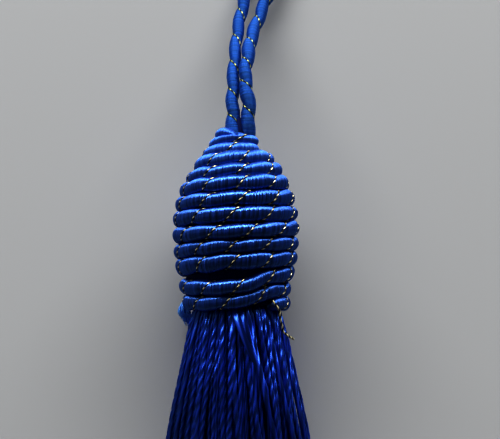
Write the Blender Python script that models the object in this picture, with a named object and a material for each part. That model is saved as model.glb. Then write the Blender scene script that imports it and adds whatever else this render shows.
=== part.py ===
"""A tassel lying on its back: a bulbous head of wrapped cord wound as a helix, a skirt of
loose strands rooted in the head's base, a hanging loop of the same cord, and two loose ends.

Metres, +Z up. The head's axis lies in the YZ plane, with the loop towards +Y and the skirt
towards -Y. The tassel rests on z = 0, and the origin is the flat spot under the head.
Sizes are written in millimetres times MM, and tables are in millimetres.
"""

import math
import random

import bmesh
import bpy
from mathutils import Vector

MM = 0.001

# How the tassel lies
GAP = 0.3 * MM  # between pieces that touch
HEAD_TILT = math.radians(10.6)  # the head lies on its narrowing base, so its loop end is raised
BASE_CENTRE = Vector((0.0, -4.01, 5.77)) * MM  # where the axis leaves the head's base
AXIS = Vector((0.0, math.cos(HEAD_TILT), math.sin(HEAD_TILT)))  # towards the loop
UP = Vector((0.0, -math.sin(HEAD_TILT), math.cos(HEAD_TILT)))  # square to the axis
SIDE = Vector((1.0, 0.0, 0.0))

# The cord wound on the head. Turns are counted up from the front of the lowest one.
CORD_RADIUS = 0.87 * MM
LOWER_END = 0.122  # turns: where the cord is cut off, 44 degrees right of the front
UPPER_END = 12.93  # turns: where it is tucked in, 25 degrees left of the front
STEPS_PER_TURN = 32
FLANK_ANGLE = math.radians(42)  # of the points between a row's crest and its valleys
UNDERSIDE_ANGLE = math.radians(-88)  # of the lowest turn's lower edge
TUCKED_ANGLE = math.radians(95)  # of the topmost turn's upper edge
VALLEY_HEIGHT = 0.28 * CORD_RADIUS  # of a valley over the line between two rows that touch
CROWN_HEIGHT = 20.85 * MM  # the middle of the head's top, over the base

# Each turn of the cord: the height of its centre over the base at the head's left, front and
# right, and its outer radius. The cord's ends leave the first and last rows part empty.
TURNS = (
    # left, front, right, radius
    (None, None, 0.96, 6.54),
    (1.08, 1.57, 2.64, 6.54),
    (3.00, 3.17, 4.68, 6.92),
    (5.28, 6.16, 6.36, 7.32),
    (6.96, 7.82, 8.04, 7.46),
    (9.00, 9.35, 9.96, 7.68),
    (10.92, 11.35, 11.64, 7.50),
    (12.60, 13.08, 13.56, 7.20),
    (14.28, 14.94, 15.24, 6.60),
    (15.72, 16.34, 16.80, 5.82),
    (17.28, 17.94, 18.12, 4.86),
    (18.60, 19.16, 19.08, 3.54),
    (19.92, 20.30, 20.10, 2.94),
    (20.90, 21.05, None, 2.40),
)

# The hollow in the head's base that takes the skirt's root
SOCKET_RADIUS = 4.95 * MM
SOCKET_RIM = 1.30 * MM
SOCKET_TOP = 3.40 * MM

# The skirt's root: a bound disc whose face is divided into rings of triangles, every second
# of which grows into a strand
ROOT_RADIUS = 4.55 * MM
ROOT_FACE = 2.00 * MM
ROOT_TOP = SOCKET_TOP - GAP
ROOT_RINGS = 8
ROOT_TURN = math.radians(34)  # turns the rings so that the strands don't line up in columns

# The strands
STRAND_RADIUS = 0.25 * MM
OUTERMOST = 0.96  # how far out in the root's disc the outermost strands grow
TIP_SPREAD = 0.6 * MM  # how unevenly the tips are cut
FAN_SHORTENING = 0.025  # how much less far the outermost strands reach
WANDER = 0.55 * MM  # how far neighbouring strands drift together towards their tips
SEED = 7

# Cross-sections of the skirt: how far each lies past the base, its middle and half width, the
# heights of its lowest and highest strands' centres, and how far it has sunk from a round bundle
# (0) to a flat-bottomed pile (1). A strand that lies flat has its centre 0.125 mm up.
SKIRT_SECTIONS = (
    # past, middle, half_width, bottom, top, sunk
    (-1.1, 0.00, 4.45, 1.750, 10.49, 0.00),
    (0.6, 0.05, 5.30, 0.500, 10.80, 0.05),
    (5.5, 0.12, 6.50, 0.125, 9.90, 0.50),
    (15.2, 0.15, 8.50, 0.125, 8.30, 0.90),
    (33.0, 0.40, 11.50, 0.125, 6.60, 1.00),
    (62.0, 0.90, 14.40, 0.125, 5.60, 1.00),
)
PILE_BLUNTNESS = 0.6  # 1 is a half ellipse, and less is a pile with steeper sides

# The hanging loop: its centre line from the left of the head's top, round the bight and back.
# It leaves along the head's axis, comes down to the floor and lies on it.
LOOP_RADIUS = 0.83 * MM
LOOP_POINTS = 76
LOOP_EXIT = 21.20 * MM  # height of the cord's ends over the base
LOOP_EXITS = (-0.52 * MM, 1.42 * MM)  # to the left and right of the axis
LOOP_ROUTE = (
    (-0.50, 18.6, 9.90),
    (-0.45, 21.4, 9.65),
    (-0.38, 24.3, 8.85),
    (-0.28, 27.2, 7.60),
    (-0.14, 29.6, 6.30),
    (0.12, 33.0, 4.40),
    (0.88, 38.4, 2.15),
    (1.75, 44.0, 1.02),
    (2.60, 50.0, 0.86),
    (3.45, 57.0, 0.86),
    (4.65, 63.5, 0.86),
    (7.20, 68.3, 0.86),
    (11.0, 69.2, 0.86),
    (13.6, 66.0, 0.86),
    (13.6, 60.8, 0.86),
    (11.7, 54.5, 0.86),
    (9.00, 48.5, 0.86),
    (6.20, 43.2, 1.10),
    (3.80, 38.4, 2.15),
    (2.80, 34.6, 3.90),
    (2.00, 31.6, 5.60),
    (1.58, 29.2, 7.25),
    (1.27, 26.6, 8.85),
    (1.22, 24.0, 9.85),
    (1.50, 20.9, 10.35),
    (1.58, 18.6, 10.25),
)

# The loose end of the metallic binding thread
TAIL_RADIUS = 0.13 * MM
TAIL_ROUTE = (
    (4.99, -4.54, 10.20),
    (5.16, -5.30, 9.85),
    (5.34, -6.10, 9.45),
    (5.54, -6.79, 8.98),
    (6.28, -7.28, 8.05),
    (6.74, -7.48, 7.25),
)

# The frayed cord end, which comes out between the head's left underside and the floor: its
# centre's height over the base, place across and off the axis, and its radius
FRAYED_SECTIONS = (
    # height, across, off, radius
    (1.30, -6.02, -4.10, 0.26),
    (0.50, -6.46, -3.95, 0.42),
    (-0.40, -6.62, -3.95, 0.58),
    (-1.20, -6.52, -3.98, 0.50),
    (-1.95, -6.22, -4.05, 0.22),
)

COLOURS = {
    "cord": ((0.010, 0.060, 0.46), 0.45, 0.0),
    "strand": ((0.006, 0.022, 0.26), 0.42, 0.0),
    "metallic": ((0.32, 0.25, 0.10), 0.35, 0.9),
    "frayed": ((0.025, 0.13, 0.62), 0.65, 0.0),
}


def clear_scene():
    for obj in list(bpy.data.objects):
        bpy.data.objects.remove(obj, do_unlink=True)


def new_collection(name):
    collection = bpy.data.collections.new(name)
    bpy.context.scene.collection.children.link(collection)
    return collection


def make_material(name):
    colour, roughness, metallic = COLOURS[name]
    material = bpy.data.materials.new(name)
    material.use_nodes = True
    shader = material.node_tree.nodes["Principled BSDF"]
    shader.inputs["Base Color"].default_value = (*colour, 1.0)
    shader.inputs["Roughness"].default_value = roughness
    shader.inputs["Metallic"].default_value = metallic
    return material


def add_mesh(name, bm, collection, material):
    bmesh.ops.recalc_face_normals(bm, faces=bm.faces[:])
    mesh = bpy.data.meshes.new(name)
    bm.to_mesh(mesh)
    bm.free()
    mesh.materials.append(material)
    mesh.shade_smooth()
    mesh.set_sharp_from_angle(angle=math.radians(50))
    obj = bpy.data.objects.new(name, mesh)
    collection.objects.link(obj)
    return obj


def on_axis(height, across=0.0, off=0.0):
    """A point by its height over the head's base, along the axis, and its place beside it."""
    return BASE_CENTRE + AXIS * height + SIDE * across + UP * off


def table_line(table, column, places):
    """The rows of a table, as (place, value) pairs in metres, without the empty ones."""
    pairs = []
    for number, row in enumerate(table):
        for shift, index in zip(places, column):
            if row[index] is not None:
                pairs.append((number + shift, row[index] * MM))
    return pairs


def smooth_line(pairs, x):
    """Cubic Hermite through (x, y) pairs, straight on past the ends."""
    last = len(pairs) - 1

    def slope(i):
        low, high = max(i - 1, 0), min(i + 1, last)
        return (pairs[high][1] - pairs[low][1]) / (pairs[high][0] - pairs[low][0])

    if x <= pairs[0][0]:
        return pairs[0][1] + slope(0) * (x - pairs[0][0])
    if x >= pairs[last][0]:
        return pairs[last][1] + slope(last) * (x - pairs[last][0])
    i = max(k for k in range(last) if pairs[k][0] <= x)
    (x0, y0), (x1, y1) = pairs[i], pairs[i + 1]
    width = x1 - x0
    t = (x - x0) / width
    return (
        y0 * (2 * t**3 - 3 * t**2 + 1)
        + y1 * (3 * t**2 - 2 * t**3)
        + slope(i) * width * (t**3 - 2 * t**2 + t)
        + slope(i + 1) * width * (t**3 - t**2)
    )


# The head

ROW_HEIGHTS = table_line(TURNS, (0, 1, 2), (-0.25, 0.0, 0.25))
ROW_RADII = table_line(TURNS, (3,), (0.0,))


def row_centre(turn):
    """The cord's centre at this turn, as (distance from the axis, height over the base)."""
    radius = smooth_line(ROW_RADII, turn) - CORD_RADIUS
    return Vector((radius, smooth_line(ROW_HEIGHTS, turn)))


def outward(turn):
    """The winding's slope and outward direction at this turn, in (radius, height)."""
    rise = (row_centre(turn + 0.5) - row_centre(turn - 0.5)).normalized()
    return rise, Vector((rise.y, -rise.x))


def wound_point(turn, radius_height):
    """A point of the winding in space: a whole turn goes once round the axis, from the front."""
    angle = 2 * math.pi * turn
    radius, height = radius_height
    return on_axis(height, radius * math.sin(angle), radius * math.cos(angle))


def cord_point(turn, angle):
    """A point on the cord's outer side: 0 is the crest, and positive angles are above it."""
    rise, out = outward(turn)
    return row_centre(turn) + CORD_RADIUS * (math.cos(angle) * out + math.sin(angle) * rise)


def valley_point(turn):
    """The bottom of the groove between this turn and the one below it, deeper where they part."""
    upper, lower = row_centre(turn), row_centre(turn - 1)
    parting = max((upper - lower).length / 2 - CORD_RADIUS, 0.0)
    return (upper + lower) / 2 + (VALLEY_HEIGHT - 2 * parting) * outward(turn - 0.5)[1]


def wind_rows(bm):
    """The winding's outer side, as rows that share their valleys. Returns its two edge loops."""
    steps = round((UPPER_END - LOWER_END) * STEPS_PER_TURN)
    turns = [LOWER_END + i / STEPS_PER_TURN for i in range(steps + 1)]
    rows = []
    for i, turn in enumerate(turns):
        below = cord_point(turn, UNDERSIDE_ANGLE) if i < STEPS_PER_TURN else valley_point(turn)
        profile = [below] + [cord_point(turn, angle) for angle in (-FLANK_ANGLE, 0, FLANK_ANGLE)]
        rows.append([bm.verts.new(wound_point(turn, point)) for point in profile])
    for i in range(steps + 1):
        if i + STEPS_PER_TURN <= steps:
            rows[i].append(rows[i + STEPS_PER_TURN][0])
        else:
            rows[i].append(bm.verts.new(wound_point(turns[i], cord_point(turns[i], TUCKED_ANGLE))))
    for low, high in zip(rows, rows[1:]):
        for m in range(len(low) - 1):
            bm.faces.new((low[m], high[m], high[m + 1], low[m + 1]))
    lower_edge = [row[0] for row in rows[: STEPS_PER_TURN + 1]]
    lower_step = rows[0][1:-1]
    upper_edge = [row[-1] for row in rows[steps - STEPS_PER_TURN :]]
    upper_step = rows[-1][-2:0:-1]
    return turns, lower_edge, lower_step, upper_edge + upper_step


def close_base(bm, turns, lower_edge, lower_step):
    """The underside of the lowest turn, the cord's cut end and the socket for the skirt."""
    def ring(height):
        return [
            bm.verts.new(wound_point(turn, (SOCKET_RADIUS, height)))
            for turn in turns[:STEPS_PER_TURN]
        ]

    rim, top = ring(SOCKET_RIM), ring(SOCKET_TOP)
    for i in range(STEPS_PER_TURN):
        after = (i + 1) % STEPS_PER_TURN
        bm.faces.new((lower_edge[i], lower_edge[i + 1], rim[after], rim[i]))
        bm.faces.new((rim[i], rim[after], top[after], top[i]))
    bm.faces.new([lower_edge[0], *lower_step, lower_edge[-1], rim[0]])
    bm.faces.new(top)


def close_crown(bm, loop):
    """The head's top: a shallow cone down to its middle, and the cord's tucked-in end."""
    middle = bm.verts.new(on_axis(CROWN_HEIGHT))
    for i, vert in enumerate(loop):
        bm.faces.new((vert, loop[(i + 1) % len(loop)], middle))


def make_head(parts, cutters, material):
    bm = bmesh.new()
    turns, lower_edge, lower_step, upper_loop = wind_rows(bm)
    close_base(bm, turns, lower_edge, lower_step)
    close_crown(bm, upper_loop)
    for vert in bm.verts:
        vert.co.z = max(vert.co.z, 0.0)  # the rows that it lies on are pressed flat
    head = add_mesh("head", bm, parts, material)
    depth = 5.0 * MM
    for number, across in enumerate(LOOP_EXITS):
        bpy.ops.mesh.primitive_cylinder_add(
            vertices=16, radius=LOOP_RADIUS + GAP, depth=depth,
            location=on_axis(LOOP_EXIT - GAP + depth / 2, across),
            rotation=(math.pi / 2 + HEAD_TILT, 0, 0),
        )
        cutter = bpy.context.active_object
        cutter.name = f"loop_exit_{number}"
        cutter.hide_render = True
        cutter.display_type = "WIRE"
        for collection in cutter.users_collection:
            collection.objects.unlink(cutter)
        cutters.objects.link(cutter)
        cut = head.modifiers.new(cutter.name, "BOOLEAN")
        cut.operation = "DIFFERENCE"
        cut.object = cutter


# The skirt


def ring_point(ring, place):
    """A point of the root's lattice in the unit disc: ring of ROOT_RINGS, place of 6 x ring."""
    if ring == 0:
        return 0.0, 0.0
    angle = ROOT_TURN + math.pi * place / (3 * ring)
    return ring / ROOT_RINGS * math.sin(angle), ring / ROOT_RINGS * math.cos(angle)


def root_triangles():
    """The disc's triangles as three (ring, place) corners, and whether a strand grows there."""
    found = []
    for ring in range(ROOT_RINGS):
        for sector in range(6):
            for k in range(ring + 1):
                inner, outer = sector * ring + k, sector * (ring + 1) + k
                grows = sector % 2 == 0
                found.append((((ring, inner), (ring + 1, outer), (ring + 1, outer + 1)), grows))
                if k < ring:
                    corners = ((ring, inner), (ring + 1, outer + 1), (ring, inner + 1))
                    found.append((corners, not grows))
    return found


def section_point(section, u, v):
    """Where a strand at (u, v) of the unit disc crosses this section of the skirt."""
    past, middle, half_width, bottom, top, sunk = section
    rim = math.sqrt(max(1 - u * u, 0.02))
    level = min(max((v / rim + 1) / 2, 0.0), 1.0)
    round_height = (bottom + top) / 2 + (top - bottom) / 2 * v
    piled_height = bottom + (top - bottom) * rim**PILE_BLUNTNESS * level
    height = round_height + (piled_height - round_height) * sunk
    lean = math.tan(HEAD_TILT * (1 - sunk)) * (height - (bottom + top) / 2)
    reach = past * (1 - FAN_SHORTENING * u * u)
    along = BASE_CENTRE.y / MM - reach * math.cos(HEAD_TILT * (1 - sunk)) - lean
    return Vector((middle + half_width * u, along, height)) * MM


def make_skirt(parts, material):
    bm = bmesh.new()
    verts = {(0, 0): bm.verts.new(on_axis(ROOT_FACE))}
    for ring in range(1, ROOT_RINGS + 1):
        for place in range(6 * ring):
            u, v = ring_point(ring, place)
            co = on_axis(ROOT_FACE, u * ROOT_RADIUS, v * ROOT_RADIUS)
            verts[ring, place] = bm.verts.new(co)
    strand_of = bm.faces.layers.int.new("strand")
    tips, middles = [], []
    for corners, grows in root_triangles():
        places = [(ring, place % (6 * ring) if ring else 0) for ring, place in corners]
        face = bm.faces.new([verts[place] for place in places])
        if grows:
            face[strand_of] = len(middles)
            points = [ring_point(*place) for place in places]
            middles.append([sum(values) / 3 / OUTERMOST for values in zip(*points)])
            tips.append(face)
    bm.normal_update()
    if tips[0].normal.dot(AXIS) > 0:
        bmesh.ops.reverse_faces(bm, faces=bm.faces[:])
    bind_root(bm)
    grow_strands(bm, tips, middles, strand_of)
    add_mesh("skirt", bm, parts, material)


def bind_root(bm):
    """Closes the back of the root's disc, which fits in the head's socket."""
    rim = [edge for edge in bm.edges if edge.is_boundary]
    grown = bmesh.ops.extrude_edge_only(bm, edges=rim)["geom"]
    back = [item for item in grown if isinstance(item, bmesh.types.BMVert)]
    bmesh.ops.translate(bm, verts=back, vec=AXIS * (ROOT_TOP - ROOT_FACE))
    bmesh.ops.holes_fill(bm, edges=[edge for edge in bm.edges if edge.is_boundary])


def grow_strands(bm, tips, middles, strand_of):
    """Extrudes each strand's face from section to section, as a prism with its flat side down."""
    chance = random.Random(SEED)
    cut_at = [chance.uniform(-TIP_SPREAD, TIP_SPREAD) / MM for _ in middles]
    reach = SKIRT_SECTIONS[-1][0]
    for section in SKIRT_SECTIONS:
        tips = bmesh.ops.extrude_discrete_faces(bm, faces=tips)["faces"]
        for face in tips:
            strand = face[strand_of]
            u, v = middles[strand]
            past = section[0] + cut_at[strand] * max(section[0] / reach, 0.0)
            target = section_point((past, *section[1:]), u, v)
            drift = WANDER * max(past / reach, 0.0) * math.sin(3 * u + 2.5 * v + past / 24)
            target.x += drift
            middle = face.calc_center_median()
            for vert in face.verts:
                corner = vert.co - middle
                third = round(math.atan2(corner.x, corner.z) / (2 * math.pi / 3))
                angle = third * 2 * math.pi / 3
                vert.co = target + STRAND_RADIUS * Vector((math.sin(angle), 0.0, math.cos(angle)))


# The loop and the loose ends


def smooth_route(points, count):
    """Even points along a Catmull-Rom curve through the route's points."""
    fine = []
    for i in range(len(points) - 1):
        before, start = points[max(i - 1, 0)], points[i]
        end, after = points[i + 1], points[min(i + 2, len(points) - 1)]
        for k in range(12):
            t = k / 12
            fine.append(
                0.5 * (2 * start + (end - before) * t
                       + (2 * before - 5 * start + 4 * end - after) * t**2
                       + (3 * start - before - 3 * end + after) * t**3)
            )
    fine.append(points[-1])
    lengths = [0.0]
    for a, b in zip(fine, fine[1:]):
        lengths.append(lengths[-1] + (b - a).length)
    even = []
    for n in range(count):
        wanted = lengths[-1] * n / (count - 1)
        k = min(max(j for j, length in enumerate(lengths) if length <= wanted), len(fine) - 2)
        share = (wanted - lengths[k]) / (lengths[k + 1] - lengths[k])
        even.append(fine[k].lerp(fine[k + 1], share))
    return even


def add_tube(name, points, radii, parts, material):
    curve = bpy.data.curves.new(name, "CURVE")
    curve.dimensions = "3D"
    curve.bevel_depth = 1.0
    curve.bevel_resolution = 2
    curve.use_fill_caps = True
    spline = curve.splines.new("POLY")
    spline.points.add(len(points) - 1)
    for point, co, radius in zip(spline.points, points, radii):
        point.co = (*co, 1.0)
        point.radius = radius
    curve.materials.append(material)
    parts.objects.link(bpy.data.objects.new(name, curve))


def make_loop(parts, material):
    left, right = (on_axis(LOOP_EXIT, across) for across in LOOP_EXITS)
    route = [left, *(Vector(point) * MM for point in LOOP_ROUTE), right]
    points = smooth_route(route, LOOP_POINTS)
    add_tube("hanging_loop", points, [LOOP_RADIUS] * len(points), parts, material)


def make_binding_tail(parts, material):
    points = smooth_route([Vector(point) * MM for point in TAIL_ROUTE], 12)
    add_tube("binding_tail", points, [TAIL_RADIUS] * len(points), parts, material)


def make_frayed_end(parts, material):
    points = [on_axis(h * MM, x * MM, z * MM) for h, x, z, _ in FRAYED_SECTIONS]
    add_tube("frayed_end", points, [row[3] * MM for row in FRAYED_SECTIONS], parts, material)


def main():
    clear_scene()
    parts = new_collection("tassel")
    cutters = new_collection("cutters")
    make_head(parts, cutters, make_material("cord"))
    make_skirt(parts, make_material("strand"))
    make_loop(parts, bpy.data.materials["cord"])
    make_binding_tail(parts, make_material("metallic"))
    make_frayed_end(parts, make_material("frayed"))


main()
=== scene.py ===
"""The looks of the tassel: its wound cord, metallic binding, twisted strands and hanging loop.

Metres, in the frame of the CAD model: +Z up, the loop towards +Y, the skirt towards -Y. Sizes
are written in millimetres times MM, or as plain millimetres in tables and where a comment says
so. TURNS, SKIRT_SECTIONS and LOOP_ROUTE are those of the CAD model.
"""

import math
import random
from collections import namedtuple

import bpy
import numpy as np
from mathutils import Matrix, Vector


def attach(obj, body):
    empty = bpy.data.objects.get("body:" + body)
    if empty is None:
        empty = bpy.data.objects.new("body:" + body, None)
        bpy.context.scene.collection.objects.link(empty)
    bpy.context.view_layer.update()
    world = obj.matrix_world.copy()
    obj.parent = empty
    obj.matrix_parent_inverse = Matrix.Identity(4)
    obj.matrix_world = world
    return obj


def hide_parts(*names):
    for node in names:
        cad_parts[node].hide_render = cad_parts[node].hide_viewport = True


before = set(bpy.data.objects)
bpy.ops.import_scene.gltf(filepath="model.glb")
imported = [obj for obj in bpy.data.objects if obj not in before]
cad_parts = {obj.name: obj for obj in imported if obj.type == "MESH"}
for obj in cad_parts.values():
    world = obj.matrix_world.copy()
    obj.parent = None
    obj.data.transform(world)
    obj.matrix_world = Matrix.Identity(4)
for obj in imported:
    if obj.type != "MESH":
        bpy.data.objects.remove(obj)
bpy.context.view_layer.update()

MM = 0.001

# The camera, as in the photograph
CAMERA_PLACE = Vector((1.68, -12.64, 95.0)) * MM
CAMERA_TILT = math.radians(12.5)
FRAME_WIDTH = 500  # pixels
FOCAL_LENGTH = 743  # pixels
SENSOR_WIDTH = 36.0

# How the head lies
HEAD_TILT = math.radians(10.6)
BASE_CENTRE = Vector((0.0, -4.01, 5.77)) * MM
AXIS = Vector((0.0, math.cos(HEAD_TILT), math.sin(HEAD_TILT)))
UP = Vector((0.0, -math.sin(HEAD_TILT), math.cos(HEAD_TILT)))
SIDE = Vector((1.0, 0.0, 0.0))

# The cord wound on the head, in turns counted up from the front of the lowest one
CORD_RADIUS = 0.87 * MM
LOWER_END = 0.122
UPPER_END = 13.02
TURNS = (
    # height of the cord's centre at the head's left, front and right, and its outer radius
    (None, None, 0.96, 6.54),
    (1.08, 1.57, 2.64, 6.54),
    (3.00, 3.17, 4.68, 6.92),
    (5.28, 6.16, 6.36, 7.32),
    (6.96, 7.82, 8.04, 7.46),
    (9.00, 9.35, 9.96, 7.68),
    (10.92, 11.35, 11.64, 7.50),
    (12.60, 13.08, 13.56, 7.20),
    (14.28, 14.94, 15.24, 6.60),
    (15.72, 16.34, 16.80, 5.82),
    (17.28, 17.94, 18.12, 4.86),
    (18.60, 19.16, 19.08, 3.54),
    (19.92, 20.30, 20.10, 2.94),
    (20.90, 21.05, None, 2.40),
)
# Where the cord leaves an even curve
SHIFTS = (
    # turn, width in turns, rise, shift outwards
    (1.115, 0.050, 0.55, 0.00),
    (2.105, 0.055, 0.50, 0.00),
    (10.76, 0.120, 0.00, 0.35),
    (11.25, 0.120, 0.00, -0.40),
    (11.76, 0.120, -0.10, 0.25),
    (12.74, 0.120, 0.10, 0.15),
    (13.02, 0.100, -0.65, -0.15),
)
TURN_STEPS = 400  # cross-sections in each turn
CORD_SIDES = 18
SIDE_CROWDING = 0.45  # more brings the sides closer together on the outside
ROW_FILLING = 1.12  # how far the cord reaches, as a share of half the way to the next row
TALLEST_UP, TALLEST_DOWN = 1.06, 1.45  # the most that it reaches, in cord radii
CUT_TURNS, CUT_SHARE = 0.11, 0.62  # how long its cut end is flatter below, and how flat
END_ROUNDING = 0.6  # cord radii
WOBBLE, WOBBLE_TURNS, WOBBLE_SEED = 0.035, 0.045, 3  # mm up and down, over how many turns
SWELLING, SWELLING_LENGTH, SWELLING_SEED = 0.025, 2.5, 6  # share of the radius, over how many mm
BUNDLING = 0.008  # share of the radius by which bundles of fibres stand out
BUNDLE_LENGTHS = 0.30 * MM, 0.75 * MM  # of the fine and the coarse bundles
BUNDLE_SEEDS = 5, 8

# The dark core, which shows only where two rows part, and a dark stub between the loop's ends,
# which is painted shade for the loop strands' shadowed sides
CORE_START, CORE_STOP = 0.3, 0.6  # turns from the cord's ends
CORE_DEPTH = 1.15  # cord radii in from the outside of the rows
CORE_STEPS = 40  # rings, and sides of each
# The dark stub between the loop's ends: painted shade
SHADE_STUB = (
    # height, radius
    (18.0, 1.0),
    (21.0, 0.9),
    (23.1, 0.5),
)
SHADE_STUB_ACROSS = 0.45 * MM  # to the right of the axis
SHADE_STUB_SIDES = 12

# The metallic thread that binds the cord: for each turn, how far right of the front one of its
# crossings lies, in degrees, and how many crossings there are up to the next turn's
BINDING = (
    # crossing, count
    (-4.0, 10),
    (28.0, 10),
    (2.0, 10),
    (-1.0, 11),
    (-3.0, 11),
    (14.0, 10),
    (-2.0, 10),
    (8.0, 10),
    (9.0, 9),
    (10.0, 8),
    (18.0, 6),
    (-3.0, 3),
    (20.0, 3),
    (24.0, 3),
)
NECK = 0.25  # how much of its radius the cord loses under the binding thread
NECK_SHAPE = 0.80  # less is a rounder pillow between crossings
THREAD_RADIUS = 0.100 * MM
THREAD_SIDES = 6
THREAD_STEP = 0.14 * MM
THREAD_LENGTH = 1.7  # about how long it is for one of the head's cord
THREAD_LIFT = 0.3  # of its radius, over the neck
FOIL_PITCH = 0.80  # mm of thread from one gold dash to the next

# The skirt: rings of strands around a middle
SKIRT_SECTIONS = (
    # past, middle, half_width, bottom, top, sunk
    (-1.1, 0.00, 4.45, 1.750, 10.49, 0.00),
    (0.6, 0.05, 5.30, 0.500, 10.80, 0.05),
    (5.5, 0.12, 6.50, 0.125, 9.90, 0.50),
    (15.2, 0.15, 8.50, 0.125, 8.30, 0.90),
    (33.0, 0.40, 11.50, 0.125, 6.60, 1.00),
    (62.0, 0.90, 14.40, 0.125, 5.60, 1.00),
)
PILE_BLUNTNESS = 0.6
FAN_SHORTENING = 0.025
STRAND_RADIUS = 0.26 * MM
STRAND_RINGS = 10
RING_STRANDS = 6.3  # about how many more strands each ring has than the one inside it
RING_TURN = 0.27  # turns from one ring's first strand to the next's
# How far a strand may be off its place: in strands round its ring, and inwards in the unit disc
PLACE_SPREAD, RING_SPREAD = 0.28, 0.06
OUTER_RINGS = 3
UNDERSIDE = -0.35  # height in the unit disc below which the strands are plain
STRAND_SIDES = 8
PLAIN_SIDES = 5
STRAND_STEP = 0.30 * MM
PLAIN_STEP = 0.9 * MM
TWIST_PITCH = 2.8 * MM
TWIST_CHOICES = (0.9, 1.0, 1.1, 1.5, 2.6)  # as shares of the pitch
UNEVEN_TWIST, UNEVEN_TWIST_LENGTH = 0.5, 5 * MM  # radians
UNEVEN_WIDTH, UNEVEN_WIDTH_LENGTH = 0.10, 1.7 * MM  # share of the radius
PLY_WAIST, PLY_SHAPE = 0.72, 0.8  # how narrow two plies are across, and less is a fuller outline
THINNEST, THICKEST = 0.66, 1.12  # as shares of the strand's radius
TIP_LENGTH, TIP_SHARE = 0.5 * MM, 0.35  # over which a strand thins out, and to what share
LOWEST_MIDDLE = 0.6  # strand radii over the floor
TIP_SPREAD = 0.6  # mm
LOCKS = 13  # bunches that the strands gather in, round the skirt
LOCK_PULL = 0.10  # share of the way to the middle of its lock that each strand moves
LOOSE_FROM = 9  # mm past the base
SWAYS = (
    # axis, then how far in mm, over what length and with which first seed each strand sways,
    # and the same for each lock
    (0, 0.36, 12.0, 100, 0.45, 24.0, 300),
    (2, 0.30, 9.0, 600, 0.35, 20.0, 400),
)
CROSSING_STRANDS = (
    # how far across the top of the skirt it starts and ends (-1 to 1), over how much of its
    # length in mm, its radius, and the length of its twist
    (0.12, 0.56, 30, 0.30, 3.4),
    (0.30, 0.66, 26, 0.32, 6.0),
    (0.46, 0.60, 18, 0.26, 2.9),
    (-0.12, 0.05, 20, 0.33, 4.2),
    (-0.26, -0.10, 24, 0.26, 2.8),
    (-0.02, -0.22, 34, 0.30, 3.2),
    (-0.44, -0.50, 22, 0.24, 2.7),
    (-0.62, -0.36, 40, 0.27, 3.6),
    (0.66, 0.88, 30, 0.30, 7.0),
    (0.80, 0.72, 40, 0.24, 3.0),
)
FLAT_STRANDS = (
    # the same columns, for the barely twisted ones, which thin out and go under the others
    (-0.02, 0.34, 6, 0.50, 24.0),
    (0.16, 0.50, 9, 0.40, 12.0),
)
FLAT_LIFT, FLAT_SINKING = 0.15, 1.5  # mm over the crossing ones, and how far they go under
FLAT_THINNING, FLAT_THINNING_LENGTH = 0.45, 9  # share of the radius, and mm
CROSSING_START = -0.6  # mm past the base, for both kinds
CROSSING_RIM = 0.99  # how near they are to the edge of the unit disc
CROSSING_SWAY, CROSSING_SWAY_LENGTH = 0.03, 9.0  # across the unit disc, and mm
CROSSING_LIFT, LIFT_SPREAD, LIFT_LENGTH = 0.20, 0.12, 6.0  # mm over the others, more or less
CROSSING_TWIST = 1.3  # radians from one's twist to the next one's
CROSSING_SEEDS = 900, 950, 1000  # the first ones, for sway, lift and twist
FIRST_FLAT = 40  # how far the flat ones' seeds are past these

# The hanging loop
LOOP_RADIUS = 0.83 * MM
LOOP_POINTS = 76
LOOP_EXIT = 21.20 * MM  # height over the head's base
LOOP_EXITS = (-0.52 * MM, 1.42 * MM)  # how far across its two ends leave the head
LOOP_SUNK = 1.2 * MM  # how far each goes on into it
LOOP_ROUTE = (
    # x, y, z
    (-0.50, 18.6, 9.90),
    (-0.45, 21.4, 9.65),
    (-0.38, 24.3, 8.85),
    (-0.28, 27.2, 7.60),
    (-0.14, 29.6, 6.30),
    (0.12, 33.0, 4.40),
    (0.88, 38.4, 2.15),
    (1.75, 44.0, 1.02),
    (2.60, 50.0, 0.86),
    (3.45, 57.0, 0.86),
    (4.65, 63.5, 0.86),
    (7.20, 68.3, 0.86),
    (11.0, 69.2, 0.86),
    (13.6, 66.0, 0.86),
    (13.6, 60.8, 0.86),
    (11.7, 54.5, 0.86),
    (9.00, 48.5, 0.86),
    (6.20, 43.2, 1.10),
    (3.80, 38.4, 2.15),
    (2.80, 34.6, 3.90),
    (2.00, 31.6, 5.60),
    (1.58, 29.2, 7.25),
    (1.27, 26.6, 8.85),
    (1.22, 24.0, 9.85),
    (1.50, 20.9, 10.35),
    (1.58, 18.6, 10.25),
)
LOOP_STEP = 0.14 * MM
LOOP_SIDES = 20
# Where the binding thread crosses the loop's upper side, in millimetres from its start and end
LOOP_CROSSINGS = (1.85, 5.24, 9.81, 15.44, 20.88), (2.72, 6.22, 9.81, 14.37, 19.62)
LOOP_PITCH = 5.4  # mm of cord for one turn of the thread between these
# How the cord's two ends lie and swell, by the distance from the loop's start and from its end
LOOP_STARTS = (
    # distance, shift to the right, radius as a share
    (0.0, 0.22, 1.26),
    (1.6, 0.16, 1.16),
    (3.2, 0.03, 1.06),
    (5.0, 0.00, 1.03),
    (15.0, -0.05, 1.02),
    (20.0, -0.09, 1.08),
    (25.0, -0.09, 1.12),
    (32.0, 0.00, 1.05),
)
LOOP_ENDS = (
    # distance, shift to the right, radius as a share
    (0.0, -0.08, 1.22),
    (2.7, -0.05, 1.12),
    (4.5, -0.05, 1.16),
    (7.0, -0.18, 1.05),
    (9.8, -0.02, 1.06),
    (12.0, 0.05, 1.16),
    (16.0, -0.12, 1.10),
    (20.0, -0.10, 1.10),
    (26.0, 0.00, 1.05),
)
SHIFT_SMOOTHING = 19  # steps over which the shift is evened out, an odd number
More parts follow.
